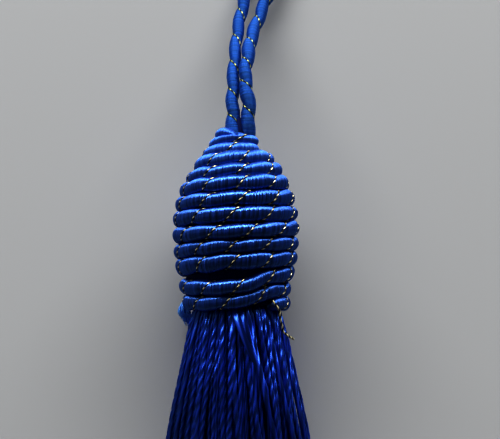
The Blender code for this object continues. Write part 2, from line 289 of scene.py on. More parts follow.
# The loop's own NECK, NECK_SHAPE, BUNDLING, BUNDLE_SEEDS, THREAD_LENGTH and THREAD_LIFT
LOOP_NECK, LOOP_NECK_SHAPE = 0.41, 0.70
LOOP_BUNDLING, LOOP_BUNDLE_SEEDS = 0.022, (22, 23)
LOOP_THREAD_LENGTH, LOOP_THREAD_LIFT = 1.9, 0.5

# The loose end of the binding thread
TAIL_RADIUS = 0.12 * MM
TAIL_STEPS = 60
TAIL_ROUTE = (
    # x, y, z
    (4.22, -3.40, 11.00),
    (4.63, -3.93, 10.75),
    (4.97, -4.41, 10.45),
    (5.14, -5.30, 9.90),
    (5.34, -6.10, 9.45),
    (5.54, -6.79, 8.98),
    (6.28, -7.28, 8.05),
    (6.74, -7.48, 7.25),
)

# The frayed cord end
FRAYED_SECTIONS = (
    # height, across, off, radius
    (1.30, -6.02, -4.10, 0.30),
    (0.50, -6.45, -3.90, 0.60),
    (-0.40, -6.60, -3.85, 0.88),
    (-1.20, -6.30, -3.92, 0.70),
    (-1.95, -5.90, -4.05, 0.22),
)
FRAYED_TUFTS = 11
FIBRES_IN_TUFT = 10
TUFT_SHARES = 0.35, 0.95  # how far out a tuft may lie, as shares of the section's radius
TUFT_STOPS = 4, 5, 5  # at which section it may end
# How far a fibre strays from its tuft: radians round it, share of the radius, and radians again
# from each section to the next
FIBRE_ANGLE, FIBRE_SHARE, FIBRE_BEND = 0.5, 0.25, 0.35
STRAY_SHARE = 0.25  # of the fibres, whose tips stand out further to the left
FIBRE_LOWEST = 0.06 * MM  # height over the floor
FIBRE_STEPS = 16
FIBRE_SIDES = 5
FIBRE_ROOT, FIBRE_TIP = 0.065, 0.02  # radii in mm

# Looks
WRAP_PITCH = 0.155  # mm of cord for one turn of its wrapping
NEAR_TOP = 8 * MM, 16 * MM  # y over which the wrapping is painted lighter towards the head's top: painted light, for the light that the crown catches
NEAR_HEAD = -19 * MM, -5 * MM  # y over which the skirt's colour is painted lighter towards the head (painted light), and its strands are tipped to catch more of the light
LIT_SIDE = -8 * MM, -2 * MM  # x over which the skirt's colour is painted lighter to the right (painted light), and its strands are tipped to catch more of the light

# The stage
FLOOR_SIZE = 3000 * MM
FLOOR_HEIGHT = -0.02 * MM  # just under what lies on it
LIGHT_AIM = Vector((0, 0, 5 * MM))
LIGHTS = (
    # name, azimuth and elevation in degrees, distance and size in metres, power in watts
    ("key", 0, 29, 0.90, (1.90, 0.36), 29.0),
    ("fill", 70, 50, 0.60, (0.60, 0.60), 0.4),
)
WORLD_COLOUR, WORLD_STRENGTH = (0.9, 0.95, 1.0, 1.0), 0.08
VIEW_GAMMA = 0.65

SEED = 11


# Lines and noise


def on_axis(height, across=0.0, off=0.0):
    """A point by its height over the head's base, along the axis, and its place beside it."""
    return BASE_CENTRE + AXIS * height + SIDE * across + UP * off


def table_line(table, columns, places):
    """The rows of a table, as (place, value) pairs in metres, without the empty ones."""
    pairs = []
    for number, row in enumerate(table):
        for shift, column in zip(places, columns):
            if row[column] is not None:
                pairs.append((number + shift, row[column] * MM))
    return np.array(pairs)


def smooth_line(pairs, x):
    """Cubic Hermite through (x, y) pairs, straight on past the ends, for an array of x."""
    px, py = pairs[:, 0], pairs[:, 1]
    last = len(px) - 1
    low = np.maximum(np.arange(last + 1) - 1, 0)
    high = np.minimum(np.arange(last + 1) + 1, last)
    slope = (py[high] - py[low]) / (px[high] - px[low])
    i = np.clip(np.searchsorted(px, x, side="right") - 1, 0, last - 1)
    width = px[i + 1] - px[i]
    t = np.clip((x - px[i]) / width, 0, 1)
    inside = (
        py[i] * (2 * t**3 - 3 * t**2 + 1)
        + py[i + 1] * (3 * t**2 - 2 * t**3)
        + slope[i] * width * (t**3 - 2 * t**2 + t)
        + slope[i + 1] * width * (t**3 - t**2)
    )
    before = np.minimum(x - px[0], 0) * slope[0]
    after = np.maximum(x - px[last], 0) * slope[last]
    return inside + before + after


def waves(x, length, seed, octaves=1, count=4096):
    """Smooth noise of x about 0, whose bumps are about this length apart. One octave stays between
    -1 and 1, and each further one adds bumps of half the size. It repeats after count bumps."""
    chance = np.random.default_rng(seed)
    total = np.zeros_like(x)
    for octave in range(octaves):
        values = chance.uniform(-1, 1, count)
        place = x / length * 2**octave + count // 4
        i = np.floor(place).astype(int)
        t = place - i
        t = t * t * (3 - 2 * t)
        total += (values[i % count] * (1 - t) + values[(i + 1) % count] * t) / 2**octave
    return total


def smooth_route(points, count, fine_steps=12):
    """Even points along a Catmull-Rom curve through the route's points."""
    fine = []
    for i in range(len(points) - 1):
        before, start = points[max(i - 1, 0)], points[i]
        end, after = points[i + 1], points[min(i + 2, len(points) - 1)]
        for k in range(fine_steps):
            t = k / fine_steps
            fine.append(
                0.5 * (2 * start + (end - before) * t
                       + (2 * before - 5 * start + 4 * end - after) * t**2
                       + (3 * start - before - 3 * end + after) * t**3)
            )
    fine.append(points[-1])
    return even_points(np.array([tuple(p) for p in fine]), count)


def lengths_along(points):
    steps = np.linalg.norm(np.diff(points, axis=0), axis=1)
    return np.concatenate(([0.0], np.cumsum(steps)))


def sample(values, known, wanted):
    """Numbers or points that are known at some places along a line, at the wanted places."""
    if values.ndim == 1:
        return np.interp(wanted, known, values)
    return np.column_stack([np.interp(wanted, known, column) for column in values.T])


def even_points(points, count):
    along = lengths_along(points)
    return sample(points, along, np.linspace(0, along[-1], count))


def smooth_rows(points, passes=6):
    """Takes the corners out of a densely divided line, with its ends kept."""
    points = points.copy()
    for _ in range(passes):
        points[1:-1] = (points[:-2] + 2 * points[1:-1] + points[2:]) / 4
    return points


def unit(vectors):
    return vectors / np.linalg.norm(vectors, axis=-1, keepdims=True)


# Meshes from rings of points


def band_parts(rings, lengths):
    """A band's points, its side faces and its two closing fans, and a UV for each corner."""
    n, m = rings.shape[:2]
    ends = np.array([rings[0].mean(axis=0), rings[-1].mean(axis=0)])
    points = np.concatenate((rings.reshape(-1, 3), ends))
    i, j = np.meshgrid(np.arange(n - 1), np.arange(m), indexing="ij")
    after = (j + 1) % m
    quads = np.stack((i * m + j, i * m + after, (i + 1) * m + after, (i + 1) * m + j), -1)
    u = lengths[:, None]
    corners = (
        (u[i, 0], j / m), (u[i, 0], (j + 1) / m),
        (u[i + 1, 0], (j + 1) / m), (u[i + 1, 0], j / m),
    )
    k = np.arange(m)
    first = np.stack((np.full(m, n * m), (k + 1) % m, k), -1)
    last = np.stack((np.full(m, n * m + 1), (n - 1) * m + k, (n - 1) * m + (k + 1) % m), -1)
    uvs = [np.stack([np.stack(c, -1) for c in corners], -2).reshape(-1, 2)]
    uvs += [np.tile((u_end, 0.5), (3 * m, 1)) for u_end in (lengths[0], lengths[-1])]
    return points, [quads.reshape(-1, 4), first, last], uvs


def skin(name, bands, material):
    """A mesh from bands: each is (rings, lengths), with rings as (ring, side, xyz) in metres and
    its length along in millimetres as the UV map's u. Each band is closed with a fan at its ends.
    """
    verts, faces, uvs = [], [], []
    start = 0
    for rings, lengths in bands:
        points, band_faces, band_uvs = band_parts(rings, lengths)
        verts.append(points)
        faces += [start + face for face in band_faces]
        uvs += band_uvs
        start += len(points)
    mesh = bpy.data.meshes.new(name)
    loops = np.concatenate([f.ravel() for f in faces])
    sizes = np.concatenate([np.full(len(f), f.shape[1]) for f in faces])
    co = np.concatenate(verts)
    mesh.vertices.add(len(co))
    mesh.vertices.foreach_set("co", co.astype(np.float32).ravel())
    mesh.loops.add(len(loops))
    mesh.loops.foreach_set("vertex_index", loops.astype(np.int32))
    mesh.polygons.add(len(sizes))
    mesh.polygons.foreach_set("loop_start", (np.cumsum(sizes) - sizes).astype(np.int32))
    mesh.uv_layers.new(name="along")
    mesh.uv_layers["along"].data.foreach_set("uv", np.concatenate(uvs).astype(np.float32).ravel())
    mesh.update(calc_edges=True)
    mesh.validate()
    mesh.shade_smooth()
    mesh.materials.append(material)
    obj = bpy.data.objects.new(name, mesh)
    bpy.context.scene.collection.objects.link(obj)
    return obj


def dress(obj, slot, *nodes):
    """A finished piece rides on the tassel and stands for its CAD nodes."""
    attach(obj, "root")
    if nodes:
        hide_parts(*nodes)
    return obj


def side_frames(points, first_out):
    """Two directions across a line at each of its points, carried along it without twist."""
    along = unit(np.gradient(points, axis=0))
    out = np.empty_like(points)
    side = np.array(first_out, float)
    for i, direction in enumerate(along):
        side = side - side.dot(direction) * direction
        side /= np.linalg.norm(side)
        out[i] = side
    return out, np.cross(along, out)


def tube_band(line, radius, sides, start=0.0):
    """The rings of a round tube along a line, for skin()."""
    out, across = side_frames(line, (0.3, 0.2, 1.0))
    angle = np.linspace(0, 2 * math.pi, sides, endpoint=False)
    radii = np.broadcast_to(radius, len(line))[:, None, None]
    ring = np.cos(angle)[None, :, None] * out[:, None, :]
    ring = ring + np.sin(angle)[None, :, None] * across[:, None, :]
    return line[:, None, :] + radii * ring, start + lengths_along(line) / MM


def tube(name, line, radius, sides, material):
    return skin(name, [tube_band(line, radius, sides)], material)


def over_floor(rings, height=0.0):
    """Keeps points from going under this height."""
    rings[..., 2] = np.maximum(rings[..., 2], height)
    return rings


# Materials


class Nodes:
    """Adds nodes to a material, each call returning the new node's main output."""

    def __init__(self, name):
        self.material = bpy.data.materials.new(name)
        self.material.use_nodes = True
        self.tree = self.material.node_tree
        self.shader = self.tree.nodes["Principled BSDF"]
        self.normal = None

    def add(self, kind, output=0, settings=(), **inputs):
        node = self.tree.nodes.new(kind)
        for key, value in dict(settings).items():
            setattr(node, key, value)
        for key, value in inputs.items():
            index = int(key[1:]) if key[0] == "i" and key[1:].isdigit() else key.replace("_", " ")
            self.join(value, node.inputs[index])
        return node.outputs[output]

    def join(self, value, socket):
        if isinstance(value, bpy.types.NodeSocket):
            self.tree.links.new(value, socket)
        else:
            socket.default_value = value

    def math(self, operation, *values):
        inputs = {f"i{k}": value for k, value in enumerate(values)}
        return self.add("ShaderNodeMath", settings={"operation": operation}, **inputs)

    def mix(self, factor, a, b):
        return self.add(
            "ShaderNodeMix", 2, {"data_type": "RGBA"}, i0=factor, i6=a, i7=b
        )

    def noise(self, w, scale, detail=2.0):
        return self.add(
            "ShaderNodeTexNoise", 0, {"noise_dimensions": "1D"}, W=w, Scale=scale, Detail=detail
        )

    def ramp(self, value, low, high):
        """0 below low, 1 above high, and smooth between them."""
        settings = {"interpolation_type": "SMOOTHSTEP"}
        return self.add("ShaderNodeMapRange", 0, settings, i0=value, i1=low, i2=high)

    def scaled(self, value, factor, start):
        """The value times the factor, from this start."""
        return self.math("ADD", self.math("MULTIPLY", value, factor), start)

    def place(self):
        return self.add("ShaderNodeTexCoord", "Object")

    def coordinate(self, axis):
        """X, Y or Z of the place, for axis 0, 1 or 2."""
        return self.add("ShaderNodeSeparateXYZ", axis, i0=self.place())

    def along(self):
        """The UV map's u, in millimetres along the piece, and v, in turns round it."""
        uv = self.add("ShaderNodeUVMap", settings={"uv_map": "along"})
        split = self.tree.nodes.new("ShaderNodeSeparateXYZ")
        self.join(uv, split.inputs[0])
        return split.outputs[0], split.outputs[1]

    def set(self, **inputs):
        for key, value in inputs.items():
            self.join(value, self.shader.inputs[key.replace("_", " ")])

    def tangent(self):
        """The direction along the piece, joined to the shader for its sheen."""
        settings = {"direction_type": "UV_MAP", "uv_map": "along"}
        tangent = self.add("ShaderNodeTangent", settings=settings)
        self.join(tangent, self.shader.inputs["Tangent"])
        return tangent

    def vector(self, operation, *values):
        node = self.tree.nodes.new("ShaderNodeVectorMath")
        node.operation = operation
        for value, socket in zip(values, node.inputs):
            self.join(value, socket)
        return node

    def surface(self):
        return self.add("ShaderNodeNewGeometry", "Normal")

    def tip(self, way, amount):
        """Tips the surface's normal this way, by this amount."""
        scaled = self.vector("SCALE", way)
        self.join(amount, scaled.inputs["Scale"])
        tipped = self.vector("ADD", self.surface(), scaled.outputs[0])
        self.normal = self.vector("NORMALIZE", tipped.outputs[0]).outputs[0]

    def bump(self, height, strength, distance):
        inputs = {"Normal": self.normal} if self.normal else {}
        normal = self.add(
            "ShaderNodeBump", Strength=strength, Distance=distance, Height=height, **inputs
        )
        self.join(normal, self.shader.inputs["Normal"])


def colour(r, g, b):
    return (r, g, b, 1.0)


def cord_material(name, dark, light, top, refraction, tint, tipping):
    """Rayon wrapped round a cord: fine ridges across it, with a satin sheen. They are from dark to
    light low on the head, and from light to top near its top and on the whole loop. The lighter
    colours near the head's top are painted light, for the light that the crown catches."""
    m = Nodes(name)
    u, v = m.along()
    wrap = m.math("SUBTRACT", m.math("DIVIDE", u, WRAP_PITCH), v)  # turns of the wrapping
    ridge = m.math("ABSOLUTE", m.math("SINE", m.math("MULTIPLY", wrap, math.pi)))
    each = m.noise(wrap, 1.05, 1.0)
    bundle = m.noise(m.math("ADD", wrap, 50.0), 0.45, 1.0)
    tone = m.math("ADD", m.math("MULTIPLY", each, 0.5), m.math("MULTIPLY", bundle, 0.5))
    tone = m.ramp(tone, 0.38, 0.62)
    near_top = m.ramp(m.coordinate(1), *NEAR_TOP)
    rough = m.math("SUBTRACT", m.scaled(near_top, 0.30, 0.56), m.math("MULTIPLY", tone, 0.20))
    # Near the head's top the base goes over to the lighter colours: painted light for the crown
    base = m.mix(tone, m.mix(near_top, dark, light), m.mix(near_top, light, top))
    m.set(Base_Color=base, Roughness=rough, Anisotropic=1.0, IOR=refraction)
    m.set(Specular_Tint=tint, Specular_IOR_Level=1.0)
    around = m.vector("CROSS_PRODUCT", m.surface(), m.tangent()).outputs[0]
    m.tip(around, m.math("MULTIPLY", m.math("SUBTRACT", each, 0.5), tipping))
    height = m.math("ADD", m.math("MULTIPLY", ridge, 0.5), m.math("MULTIPLY", each, 0.9))
    m.bump(height, 0.6, 0.05 * MM)
    return m.material


def strand_material(name, fibres, shine, refraction, tipping):
    """Twisted rayon: fine fibres along two plies, that catch the light at their crests in some
    places, more of them with more shine. Its colour is painted darker in the groove between the
    plies (painted shade), and lighter near the head and to the right (painted light)."""
    m = Nodes(name)
    u, v = m.along()
    fibre = m.math("ADD", m.math("MULTIPLY", v, fibres), m.math("MULTIPLY", u, 0.5))
    fine = m.noise(fibre, 1.0, 1.0)
    across_ply = m.math("FRACT", m.math("MULTIPLY", v, 2.0))
    crest = m.math("SUBTRACT", 1.0, m.math("ABSOLUTE", m.math("SUBTRACT", across_ply, 0.5)))
    crest = m.ramp(crest, 0.62, 0.92)
    near = m.ramp(m.coordinate(1), *NEAR_HEAD)
    right = m.ramp(m.coordinate(0), *LIT_SIDE)
    # Base tone: painted shade in the groove between the plies, painted light near the head and to
    # the right
    tone = m.math("MULTIPLY", m.math("ADD", fine, 0.4), m.math("ADD", crest, 0.25))
    tone = m.math("MULTIPLY", tone, m.scaled(near, 0.55, 0.4))
    tone = m.math("MULTIPLY", tone, m.scaled(right, 0.5, 0.55))
    base = m.mix(tone, colour(0.001, 0.003, 0.03), colour(0.011, 0.040, 0.50))
    m.set(Base_Color=base, Roughness=0.40, Anisotropic=0.8, IOR=refraction)
    m.set(Anisotropic_Rotation=0.25, Specular_Tint=colour(0.13, 0.34, 1.0))
    m.set(Specular_IOR_Level=1.0)
    stretch = m.ramp(m.noise(m.math("ADD", u, 31.0), 0.13, 1.0), 0.58 - shine, 0.72 - shine)
    lift = m.math("MULTIPLY", stretch, m.scaled(near, 0.8, 0.2))
    lift = m.math("MULTIPLY", lift, m.math("ADD", fine, 0.5))
    lift = m.math("MULTIPLY", lift, m.scaled(right, 0.6, 0.4))
    m.tip(m.tangent(), m.math("MULTIPLY", m.math("MULTIPLY", lift, crest), -tipping))
    m.bump(fine, 0.35, 0.03 * MM)
    return m.material


def thread_material(name, share, metal, golds):
    """A black thread with a strip of foil wound round it, which shows as dashes over this share
    of it and lies between these two golds."""
    m = Nodes(name)
    u, v = m.along()
    place = m.math("FRACT", m.math("SUBTRACT", m.math("DIVIDE", u, FOIL_PITCH), v))
    foil = m.math("LESS_THAN", place, share)
    worn = m.noise(u, 2.4, 2.0)
    gold = m.mix(worn, *golds)
    m.set(
        Base_Color=m.mix(foil, colour(0.006, 0.005, 0.008), gold),
        Metallic=m.math("MULTIPLY", foil, metal),
        Roughness=m.math("SUBTRACT", 0.6, m.math("MULTIPLY", foil, 0.32)),
    )
    m.bump(foil, 0.4, 0.02 * MM)
    return m.material


def frayed_material():
    m = Nodes("frayed_fibre")
    u, _ = m.along()
    tone = m.noise(u, 1.7, 2.0)
    # A much lighter blue than the cord's own rayon, so that the frayed end shows bright in the
    # head's shadow: painted light
    m.set(
        Base_Color=m.mix(tone, colour(0.05, 0.23, 0.85), colour(0.22, 0.58, 1.0)),
        Roughness=0.5,
    )
    return m.material


def core_and_shade_stub_material():
    m = Nodes("dark_core_and_shade_stub")
    grain = m.add("ShaderNodeTexNoise", 0, Vector=m.place(), Scale=2600.0, Detail=3.0)
    # Dark navy for the core; on the stub between the loop's ends this dark is painted shade
    m.set(
        Base_Color=m.mix(grain, colour(0.002, 0.003, 0.025), colour(0.005, 0.014, 0.11)),
        Roughness=0.8,
        Specular_IOR_Level=0.1,
    )
    m.bump(grain, 0.5, 0.1 * MM)
    return m.material


def floor_material():
    m = Nodes("plain_floor")
    m.set(Base_Color=colour(0.425, 0.428, 0.43), Roughness=0.9)
    return m.material


# The wound head

Winding = namedtuple("Winding", "turn points out rise along up down")
ROW_HEIGHTS = table_line(TURNS, (0, 1, 2), (-0.25, 0.0, 0.25))
ROW_RADII = table_line(TURNS, (3,), (0.0,))


def row_centre(turn):
    """The cord's centre at these turns, as (distance from the axis, height over the base)."""
    radius = smooth_line(ROW_RADII, turn) - CORD_RADIUS
    height = smooth_line(ROW_HEIGHTS, turn)
    for place, width, rise, outwards in SHIFTS:
        near = np.exp(-(((turn - place) / width) ** 2)) * MM
        height += rise * near
        radius += outwards * near
    return np.column_stack((radius, height))


def row_out(turn):
    """The winding's slope and outward direction, in (radius, height)."""
    rise = unit(row_centre(turn + 0.5) - row_centre(turn - 0.5))
    return rise, np.column_stack((rise[:, 1], -rise[:, 0]))


def in_space(turn, radius_height):
    """Directions of the winding in space, from (radius, height) at these turns."""
    angle = 2 * math.pi * turn
    axis, up, side = (np.array(v) for v in (AXIS, UP, SIDE))
    radial = np.sin(angle)[:, None] * side + np.cos(angle)[:, None] * up
    return radius_height[:, :1] * radial + radius_height[:, 1:] * axis


def binding_phase(turn):
    """How many times the binding thread has gone round the cord by these turns."""
    total, pairs = 0.0, []
    for number, (crossing, count) in enumerate(BINDING):
        pairs.append((number + crossing / 360, total))
        total += count
    return smooth_line(np.array(pairs), turn)


def pillow(phase, neck=NECK, shape=NECK_SHAPE):
    """The cord's radius between the binding thread's crossings, as a share of its full one."""
    return 1 - neck * (1 - np.abs(np.sin(math.pi * phase)) ** shape)


def head_winding():
    """The cord on the head: at each step its turn, centre, outward and upward directions, length
    so far, and how far it reaches up and down."""
    steps = round((UPPER_END - LOWER_END) * TURN_STEPS)
    turn = np.linspace(LOWER_END, UPPER_END, steps + 1)
    centre = row_centre(turn)
    rise, out = row_out(turn)
    wobble = waves(turn, WOBBLE_TURNS, WOBBLE_SEED, octaves=2) * WOBBLE * MM
    centre = centre + rise * wobble[:, None]
    points = np.array(BASE_CENTRE) + in_space(turn, centre)
    directions = in_space(turn, out), in_space(turn, rise)
    return Winding(turn, points, *directions, lengths_along(points), *half_heights(turn))


def half_heights(turn):
    """How far the cord reaches up and down from its centre before it meets the next rows."""
    here, above, below = row_centre(turn), row_centre(turn + 1), row_centre(turn - 1)
    up = np.linalg.norm(above - here, axis=1) / 2
    down = np.linalg.norm(here - below, axis=1) / 2
    up[turn > UPPER_END - 1] = CORD_RADIUS
    down[turn < LOWER_END + 1] = CORD_RADIUS
    up = np.minimum(up * ROW_FILLING, CORD_RADIUS * TALLEST_UP)
    down = np.minimum(down * ROW_FILLING, CORD_RADIUS * TALLEST_DOWN)
    cut = np.clip((turn - LOWER_END) / CUT_TURNS, 0, 1)
    return up, down * (CUT_SHARE + (1 - CUT_SHARE) * cut)


def rounded_ends(along):
    """A factor that rounds off the two ends of the cord on the head."""
    factor = np.ones_like(along)
    for distance in (along, along[-1] - along):
        t = np.clip(distance / (END_ROUNDING * CORD_RADIUS), 0, 1)
        factor *= np.sqrt(np.clip(1 - (1 - t) ** 2, 0.02, 1))
    return factor


def fibre_bundles(along, seeds):
    """How far the wrapping's fibres stand out along a cord, in fine and in coarse bundles."""
    fine, coarse = (waves(along, *pair) for pair in zip(BUNDLE_LENGTHS, seeds))
    return fine + 0.7 * coarse


def make_head_cord(winding, material):
    along = winding.along
    even = np.linspace(0, 2 * math.pi, CORD_SIDES, endpoint=False) + math.pi
    angle = even - SIDE_CROWDING * np.sin(even)
    phase = binding_phase(winding.turn)[:, None] - angle[None, :] / (2 * math.pi)
    size = pillow(phase) + BUNDLING * fibre_bundles(along, BUNDLE_SEEDS)[:, None]
    size += SWELLING * waves(along, SWELLING_LENGTH * MM, SWELLING_SEED)[:, None]
    size *= rounded_ends(along)[:, None]
    height = np.where(np.sin(angle)[None, :] > 0, winding.up[:, None], winding.down[:, None])
    rings = (
        winding.points[:, None, :]
        + (CORD_RADIUS * size * np.cos(angle))[:, :, None] * winding.out[:, None, :]
        + (height * size * np.sin(angle))[:, :, None] * winding.rise[:, None, :]
    )
    band = over_floor(rings), along / MM
    dress(skin("head_cord", [band], material), "wrapped_cord", "head")


def make_head_thread(winding, material):
    phase = binding_phase(winding.turn)
    count = round(winding.along[-1] * THREAD_LENGTH / THREAD_STEP)
    place = np.interp(np.linspace(phase[0], phase[-1], count), phase, winding.turn)
    angle = 2 * math.pi * sample(phase, winding.turn, place)
    here = Winding(*(sample(values, winding.turn, place) for values in winding))
    reach = 1 - NECK + THREAD_LIFT * THREAD_RADIUS / CORD_RADIUS
    height = np.where(np.sin(angle) > 0, here.up, here.down)
    line = (
        here.points
        + (CORD_RADIUS * reach * np.cos(angle))[:, None] * here.out
        + (height * reach * np.sin(angle))[:, None] * here.rise
    )
    over_floor(line, THREAD_RADIUS)
    dress(tube("head_binding", line, THREAD_RADIUS, THREAD_SIDES, material), "metallic_thread")


def make_core_and_shade_stub(material):
    """What the cord is wound over, and a dark stub between the loop's ends, which is painted shade.
    """
    turn = np.linspace(LOWER_END + CORE_START, UPPER_END - CORE_STOP, CORE_STEPS)
    heights = smooth_line(ROW_HEIGHTS, turn)
    radii = smooth_line(ROW_RADII, turn) - CORD_RADIUS * CORE_DEPTH
    angle = np.linspace(0, 2 * math.pi, CORE_STEPS, endpoint=False)
    rings = np.array([
        [on_axis(h, r * math.sin(a), r * math.cos(a)) for a in angle]
        for h, r in zip(heights, radii)
    ])
    # The dark stub between the loop's ends: painted shade for the strands' shadowed sides
    top = np.array([on_axis(h * MM, SHADE_STUB_ACROSS) for h, _ in SHADE_STUB])
    stub = tube_band(top, np.array([radius for _, radius in SHADE_STUB]) * MM, SHADE_STUB_SIDES)
    bands = [(over_floor(rings), heights / MM), stub]
    dress(skin("head_core_and_shade_stub", bands, material), "wrapped_cord")


def make_head(cord, thread, core):
    winding = head_winding()
    make_head_cord(winding, cord)
    make_head_thread(winding, thread)
    make_core_and_shade_stub(core)


# The hanging loop


def loop_line():
    left, right = (on_axis(LOOP_EXIT, across) for across in LOOP_EXITS)
    route = [left, *(Vector(point) * MM for point in LOOP_ROUTE), right]
    return smooth_route(route, LOOP_POINTS)


def loop_turns(along, length):
    """How many times the binding thread has gone round the loop's cord, at these lengths."""
    first, last = (np.array(row) * MM for row in LOOP_CROSSINGS)
    between = round((length - first[-1] - last[-1]) / (LOOP_PITCH * MM))
    count = len(first) - 1
    places = np.concatenate((LOOP_SUNK + first, LOOP_SUNK + length - last[::-1]))
    turns = np.concatenate((np.arange(count + 1), count + between + np.arange(count + 1)))
    return smooth_line(np.column_stack((places, turns)), along)


def loop_shape(along):
    """The loop's shift to the right in millimetres and its swelling, at these lengths."""
    near_start, near_end = along - LOOP_SUNK, along[-1] - LOOP_SUNK - along
    starts, ends = (np.array(table).T for table in (LOOP_STARTS, LOOP_ENDS))
    shift, swell = (
        np.where(
            near_start < near_end,
            np.interp(near_start / MM, starts[0], starts[k]),
            np.interp(near_end / MM, ends[0], ends[k]),
        )
        for k in (1, 2)
    )
    even = np.full(SHIFT_SMOOTHING, 1 / SHIFT_SMOOTHING)
    return np.convolve(np.pad(shift, SHIFT_SMOOTHING // 2, mode="edge"), even, "valid"), swell


def make_loop(cord, thread):
    path = loop_line()
    length = lengths_along(path)[-1]
    start, end = (point - np.array(AXIS) * LOOP_SUNK for point in (path[0], path[-1]))
    whole = np.array([start, *path, end])
    line = smooth_rows(even_points(whole, round((length + 2 * LOOP_SUNK) / LOOP_STEP)))
    along = lengths_along(line)
    shift, swell = loop_shape(along)
    line[:, 0] += shift * MM
    out, across = side_frames(line, (0, -0.4, 1.0))
    turns = loop_turns(along, length)
    angle = np.linspace(0, 2 * math.pi, LOOP_SIDES, endpoint=False) + math.pi
    phase = turns[:, None] + angle[None, :] / (2 * math.pi)
    size = pillow(phase, LOOP_NECK, LOOP_NECK_SHAPE) * swell[:, None]
    size += LOOP_BUNDLING * fibre_bundles(along, LOOP_BUNDLE_SEEDS)[:, None]
    rings = line[:, None, :] + LOOP_RADIUS * size[:, :, None] * (
        np.cos(angle)[None, :, None] * out[:, None, :]
        + np.sin(angle)[None, :, None] * across[:, None, :]
    )
    band = over_floor(rings), along / MM
    loop = dress(skin("hanging_loop_cord", [band], cord), "wrapped_cord", "hanging_loop")
    binding = make_loop_thread(line, along, out, across, swell, turns, thread)


def make_loop_thread(line, along, out, across, swell, turns, material):
    count = round(along[-1] * LOOP_THREAD_LENGTH / THREAD_STEP)
    place = np.interp(np.linspace(turns[0], turns[-1], count), turns, along)
    line, out, across, swell, turns = (
        sample(values, along, place) for values in (line, out, across, swell, turns)
    )
    wound = -2 * math.pi * turns
    reach = LOOP_RADIUS * (1 - LOOP_NECK) * swell + LOOP_THREAD_LIFT * THREAD_RADIUS
    line = line + reach[:, None] * (
        np.cos(wound)[:, None] * out + np.sin(wound)[:, None] * across
    )
    over_floor(line, THREAD_RADIUS)
    piece = tube("loop_binding", line, THREAD_RADIUS, THREAD_SIDES, material)
    return dress(piece, "metallic_thread")


# The skirt


def section_values(past):
    """Each column of SKIRT_SECTIONS at this distance past the base, in millimetres."""
    table = np.array(SKIRT_SECTIONS)
    return [
        smooth_line(np.column_stack((table[:, 0], table[:, k])), past) for k in range(1, 6)
    ]


def strand_line(u, v, past):
    """Where a strand at (u, v) of the unit disc runs, for distances past the base in mm."""
    middle, half_width, bottom, top, sunk = section_values(past)
    rim = np.sqrt(np.maximum(1 - u * u, 0.02))
    level = np.clip((v / rim + 1) / 2, 0, 1)
    round_height = (bottom + top) / 2 + (top - bottom) / 2 * v
    piled_height = bottom + (top - bottom) * rim**PILE_BLUNTNESS * level
    sunk = np.clip(sunk, 0, 1)
    height = round_height + (piled_height - round_height) * sunk
    lean = np.tan(HEAD_TILT * (1 - sunk)) * (height - (bottom + top) / 2)
    reach = past * (1 - FAN_SHORTENING * u * u)
    along = BASE_CENTRE.y / MM - reach * np.cos(HEAD_TILT * (1 - sunk)) - lean
    return np.column_stack((middle + half_width * u, along, height)) * MM


def twisted_band(line, radius, pitch, start, number):
    """The rings of a strand of two plies, twisted to the right."""
    out, across = side_frames(line, (0.0, 0.0, 1.0))
    along = lengths_along(line)
    twist = start + 2 * math.pi * along / pitch
    twist += UNEVEN_TWIST * waves(along, UNEVEN_TWIST_LENGTH, number)
    around = np.linspace(0, 2 * math.pi, STRAND_SIDES, endpoint=False)
    outline = PLY_WAIST + (1 - PLY_WAIST) * np.abs(np.sin(around)) ** PLY_SHAPE
    angle = twist[:, None] + around[None, :]
    tips = np.clip((along[-1] - along) / TIP_LENGTH, TIP_SHARE, 1) * radius
    uneven = 1 + UNEVEN_WIDTH * waves(along, UNEVEN_WIDTH_LENGTH, number)
    reach = tips[:, None] * outline[None, :] * uneven[:, None]
    rings = line[:, None, :] + reach[:, :, None] * (
        np.cos(angle)[:, :, None] * out[:, None, :] + np.sin(angle)[:, :, None] * across[:, None, :]
    )
    return over_floor(rings), uv_start(number) + along / MM


def uv_start(number):
    """Where a strand starts in the UV map's u, so that no two strands look alike."""
    return number * 97.0


def strand_places():
    """The strands' places in the unit disc, as (u, v, lock, whether it is in the outer layers)."""
    chance = random.Random(SEED)
    places = []
    for ring in range(1, STRAND_RINGS + 1):
        count = round(RING_STRANDS * ring)
        for k in range(count):
            turn = (k + chance.uniform(-PLACE_SPREAD, PLACE_SPREAD)) / count + ring * RING_TURN
            lock = math.floor(turn * LOCKS)
            turn += LOCK_PULL * ((lock + 0.5) / LOCKS - turn)
            radius = ring / STRAND_RINGS - chance.uniform(0, RING_SPREAD)
            u, v = (radius * part(2 * math.pi * turn) for part in (math.sin, math.cos))
            shows = ring > STRAND_RINGS - OUTER_RINGS and v > UNDERSIDE
            places.append((u, v, lock % LOCKS, shows))
    return places


